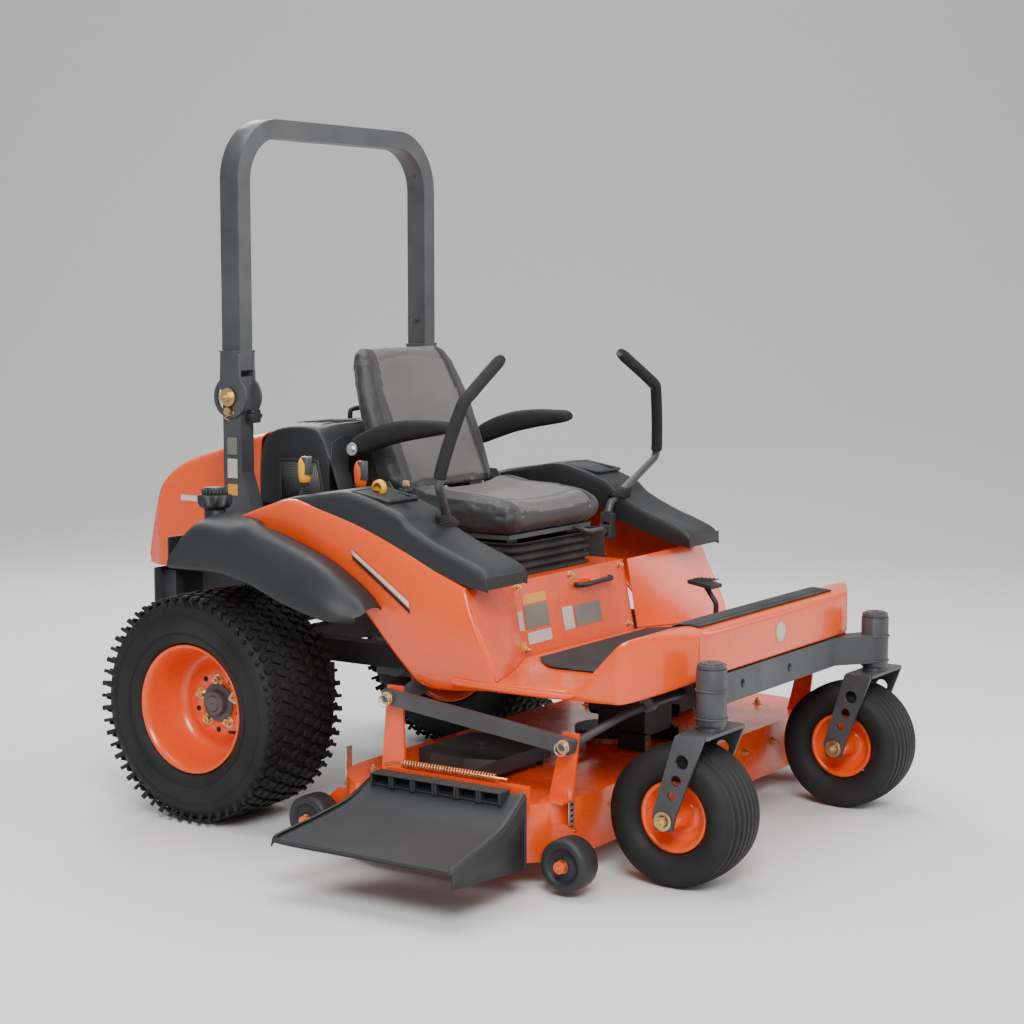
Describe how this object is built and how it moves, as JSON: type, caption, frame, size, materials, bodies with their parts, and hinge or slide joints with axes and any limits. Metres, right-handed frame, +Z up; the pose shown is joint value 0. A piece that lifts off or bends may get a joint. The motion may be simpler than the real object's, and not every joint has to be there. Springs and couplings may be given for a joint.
{
  "type": "zero turn mower",
  "caption": "Ride-on mower with two levers, a folding roll bar, front casters and a wide mid-mounted cutting deck with a side chute.",
  "frame": {"origin": "on the ground under the middle of the machine's outer box", "axes": "+X to the machine's left, -Y to its front, +Z up"},
  "size_m": [1.855, 2.014, 1.834],
  "materials": {
    "orange_paint": "gloss enamel",
    "frame_paint": "satin powder coat",
    "rubber_tyre": "matt",
    "black_plastic": "fine grain",
    "vinyl": "grained vinyl",
    "zinc": "zinc plated",
    "steel": "mill finish",
    "rubber": "matt",
    "engine_grey": "cast",
    "amber_knob": "gloss",
    "red_knob": "gloss"
  },
  "bodies": {
    "chassis": {"main_frame": "frame_paint", "front_axle_beam": "frame_paint", "rops_posts": "frame_paint", "floor_platform": "orange_paint", "floor_mat": "rubber", "seat_box": "orange_paint", "side_cover_left": "orange_paint", "side_cover_right": "orange_paint", "fenders": "black_plastic", "consoles": "black_plastic", "radiator_shroud": "black_plastic", "radiator": "engine_grey", "engine": "engine_grey", "fuel_tanks": "black_plastic", "hydro_drives": "engine_grey", "seat_suspension": "frame_paint"},
    "rear_wheel_left": {"rear_tyre_left": "rubber_tyre", "rear_rim_left": "orange_paint"},
    "caster_left": {"caster_fork_left": "frame_paint"},
    "caster_wheel_left": {"caster_tyre_left": "rubber_tyre", "caster_rim_left": "orange_paint"},
    "lock_pin_left": {"rops_lock_pin_left": "zinc"},
    "clamp_knob_left": {"rops_knob_left": "black_plastic"},
    "armrest_body_left": {"armrest_left": "rubber"},
    "hub_left": {"lever_hub_left": "frame_paint"},
    "lever_left": {"steering_lever_left": "frame_paint"},
    "rear_wheel_right": {"rear_tyre_right": "rubber_tyre", "rear_rim_right": "orange_paint"},
    "caster_right": {"caster_fork_right": "frame_paint"},
    "caster_wheel_right": {"caster_tyre_right": "rubber_tyre", "caster_rim_right": "orange_paint"},
    "lock_pin_right": {"rops_lock_pin_right": "zinc"},
    "clamp_knob_right": {"rops_knob_right": "black_plastic"},
    "armrest_body_right": {"armrest_right": "rubber"},
    "hub_right": {"lever_hub_right": "frame_paint"},
    "lever_right": {"steering_lever_right": "frame_paint"},
    "hood_body": {"hood": "orange_paint"},
    "rops": {"rops_hoop": "frame_paint"},
    "seat_base": {"seat_pan": "frame_paint", "seat_cushion": "vinyl"},
    "seat_back_body": {"seat_back": "vinyl"},
    "height_lever": {"cut_height_lever": "amber_knob"},
    "brake_lever": {"parking_brake_lever": "red_knob"},
    "pedal": {"deck_lift_pedal": "black_plastic"},
    "cap": {"fuel_cap": "black_plastic"},
    "lift_arms": {"deck_lift_arms": "frame_paint"},
    "deck": {"deck_shell": "orange_paint", "deck_side_bars": "frame_paint", "belt_drive": "black_plastic"},
    "links": {"front_links": "frame_paint"},
    "chute": {"discharge_chute": "black_plastic"},
    "gauge_front_right": {"gauge_wheel_front_right": "rubber"},
    "gauge_front_left": {"gauge_wheel_front_left": "rubber"},
    "gauge_rear_right": {"gauge_wheel_rear_right": "rubber"},
    "gauge_rear_left": {"gauge_wheel_rear_left": "rubber"},
    "roller": {"front_roller": "rubber"},
    "spindle_right": {"blade_right": "steel"},
    "spindle_centre": {"blade_centre": "steel"},
    "spindle_left": {"blade_left": "steel"}
  },
  "joints": [
    {"name": "rear_wheel_left_spin", "type": "hinge", "parent": "chassis", "child": "rear_wheel_left", "pos_m": [0.7145, 0.494, 0.3], "axis": [1, 0, 0], "continuous": true},
    {"name": "caster_left_swivel", "type": "hinge", "parent": "chassis", "child": "caster_left", "pos_m": [0.6035, -0.906, 0.4], "axis": [0, 0, 1], "continuous": true},
    {"name": "caster_wheel_left_spin", "type": "hinge", "parent": "caster_left", "child": "caster_wheel_left", "pos_m": [0.6035, -0.839, 0.168], "axis": [1, 0, 0], "continuous": true},
    {"name": "lock_pin_left_draw", "type": "slide", "parent": "chassis", "child": "lock_pin_left", "axis": [1, 0, 0], "range_m": [0, 0.06]},
    {"name": "clamp_knob_left_turn", "type": "hinge", "parent": "chassis", "child": "clamp_knob_left", "pos_m": [0.5625, 0.504, 1.046], "axis": [0, 1, 0], "continuous": true},
    {"name": "armrest_left_fold", "type": "hinge", "parent": "seat_back_body", "child": "armrest_body_left", "pos_m": [0.4095, 0.244, 0.96], "axis": [-1, 0, 0], "range_deg": [0, 85]},
    {"name": "lever_left_fore_aft", "type": "hinge", "parent": "chassis", "child": "hub_left", "pos_m": [0.5275, -0.121, 0.7], "axis": [1, 0, 0], "range_deg": [-12, 12]},
    {"name": "lever_left_swing_out", "type": "hinge", "parent": "hub_left", "child": "lever_left", "pos_m": [0.5275, -0.121, 0.74], "axis": [0, 1, 0], "range_deg": [0, 15]},
    {"name": "rear_wheel_right_spin", "type": "hinge", "parent": "chassis", "child": "rear_wheel_right", "pos_m": [-0.4195, 0.494, 0.3], "axis": [1, 0, 0], "continuous": true},
    {"name": "caster_right_swivel", "type": "hinge", "parent": "chassis", "child": "caster_right", "pos_m": [-0.3085, -0.906, 0.4], "axis": [0, 0, 1], "continuous": true},
    {"name": "caster_wheel_right_spin", "type": "hinge", "parent": "caster_right", "child": "caster_wheel_right", "pos_m": [-0.3085, -0.839, 0.168], "axis": [1, 0, 0], "continuous": true},
    {"name": "lock_pin_right_draw", "type": "slide", "parent": "chassis", "child": "lock_pin_right", "axis": [-1, 0, 0], "range_m": [0, 0.06]},
    {"name": "clamp_knob_right_turn", "type": "hinge", "parent": "chassis", "child": "clamp_knob_right", "pos_m": [-0.2675, 0.504, 1.046], "axis": [0, 1, 0], "continuous": true},
    {"name": "armrest_right_fold", "type": "hinge", "parent": "seat_back_body", "child": "armrest_body_right", "pos_m": [-0.1145, 0.244, 0.96], "axis": [-1, 0, 0], "range_deg": [0, 85]},
    {"name": "lever_right_fore_aft", "type": "hinge", "parent": "chassis", "child": "hub_right", "pos_m": [-0.2325, -0.121, 0.7], "axis": [1, 0, 0], "range_deg": [-12, 12]},
    {"name": "lever_right_swing_out", "type": "hinge", "parent": "hub_right", "child": "lever_right", "pos_m": [-0.2325, -0.121, 0.74], "axis": [0, -1, 0], "range_deg": [0, 15]},
    {"name": "hood_open", "type": "hinge", "parent": "chassis", "child": "hood_body", "pos_m": [0.1475, 0.982, 0.598], "axis": [-1, 0, 0], "range_deg": [0, 60]},
    {"name": "rops_fold", "type": "hinge", "parent": "chassis", "child": "rops", "pos_m": [0.1475, 0.554, 1.096], "axis": [1, 0, 0], "range_deg": [-110, 0]},
    {"name": "seat_slide", "type": "slide", "parent": "chassis", "child": "seat_base", "axis": [0, -1, 0], "range_m": [-0.02, 0.06]},
    {"name": "seat_recline", "type": "hinge", "parent": "seat_base", "child": "seat_back_body", "pos_m": [0.1475, 0.194, 0.852], "axis": [-1, 0, 0], "range_deg": [-5, 8]},
    {"name": "cut_height_lever_tilt", "type": "hinge", "parent": "chassis", "child": "height_lever", "pos_m": [-0.3325, 0.304, 0.79], "axis": [1, 0, 0], "range_deg": [-10, 18]},
    {"name": "parking_brake_tilt", "type": "hinge", "parent": "chassis", "child": "brake_lever", "pos_m": [-0.2285, 0.164, 0.845], "axis": [1, 0, 0], "range_deg": [-10, 20]},
    {"name": "lift_pedal_press", "type": "hinge", "parent": "chassis", "child": "pedal", "pos_m": [0.4475, -0.506, 0.4676], "axis": [1, 0, 0], "range_deg": [0, 22]},
    {"name": "fuel_cap_turn", "type": "hinge", "parent": "chassis", "child": "cap", "pos_m": [-0.4125, 0.512, 0.84], "axis": [0, 0, 1], "range_deg": [0, 120]},
    {"name": "deck_lift", "type": "hinge", "parent": "chassis", "child": "lift_arms", "pos_m": [0.1475, -0.233, 0.472], "axis": [1, 0, 0], "range_deg": [0, 34]},
    {"name": "deck_level", "type": "hinge", "parent": "lift_arms", "child": "deck", "pos_m": [0.1475, -0.123, 0.393], "axis": [1, 0, 0], "range_deg": [-34, 0]},
    {"name": "front_link_swing", "type": "hinge", "parent": "chassis", "child": "links", "pos_m": [0.1475, -0.741, 0.415], "axis": [1, 0, 0], "range_deg": [0, 34]},
    {"name": "chute_lift", "type": "hinge", "parent": "deck", "child": "chute", "pos_m": [-0.6375, -0.382, 0.245], "axis": [0, 1, 0], "range_deg": [0, 90]},
    {"name": "gauge_front_right_spin", "type": "hinge", "parent": "deck", "child": "gauge_front_right", "pos_m": [-0.5525, -0.674, 0.076], "axis": [1, 0, 0], "continuous": true},
    {"name": "gauge_front_left_spin", "type": "hinge", "parent": "deck", "child": "gauge_front_left", "pos_m": [0.8475, -0.674, 0.076], "axis": [1, 0, 0], "continuous": true},
    {"name": "gauge_rear_right_spin", "type": "hinge", "parent": "deck", "child": "gauge_rear_right", "pos_m": [-0.5525, 0.072, 0.076], "axis": [1, 0, 0], "continuous": true},
    {"name": "gauge_rear_left_spin", "type": "hinge", "parent": "deck", "child": "gauge_rear_left", "pos_m": [0.8475, 0.072, 0.076], "axis": [1, 0, 0], "continuous": true},
    {"name": "front_roller_spin", "type": "hinge", "parent": "deck", "child": "roller", "pos_m": [0.1475, -0.67, 0.088], "axis": [1, 0, 0], "continuous": true},
    {"name": "blade_right_spin", "type": "hinge", "parent": "deck", "child": "spindle_right", "pos_m": [-0.3525, -0.266, 0.15], "axis": [0, 0, 1], "continuous": true},
    {"name": "blade_centre_spin", "type": "hinge", "parent": "deck", "child": "spindle_centre", "pos_m": [0.1475, -0.356, 0.15], "axis": [0, 0, 1], "continuous": true},
    {"name": "blade_left_spin", "type": "hinge", "parent": "deck", "child": "spindle_left", "pos_m": [0.6475, -0.266, 0.15], "axis": [0, 0, 1], "continuous": true}
  ],
  "couplings": [
    {"joint": "deck_level", "follows": "deck_lift", "ratio": -1},
    {"joint": "front_link_swing", "follows": "deck_lift", "ratio": 1},
    {"joint": "blade_right_spin", "follows": "blade_centre_spin", "ratio": 1},
    {"joint": "blade_left_spin", "follows": "blade_centre_spin", "ratio": 1}
  ]
}
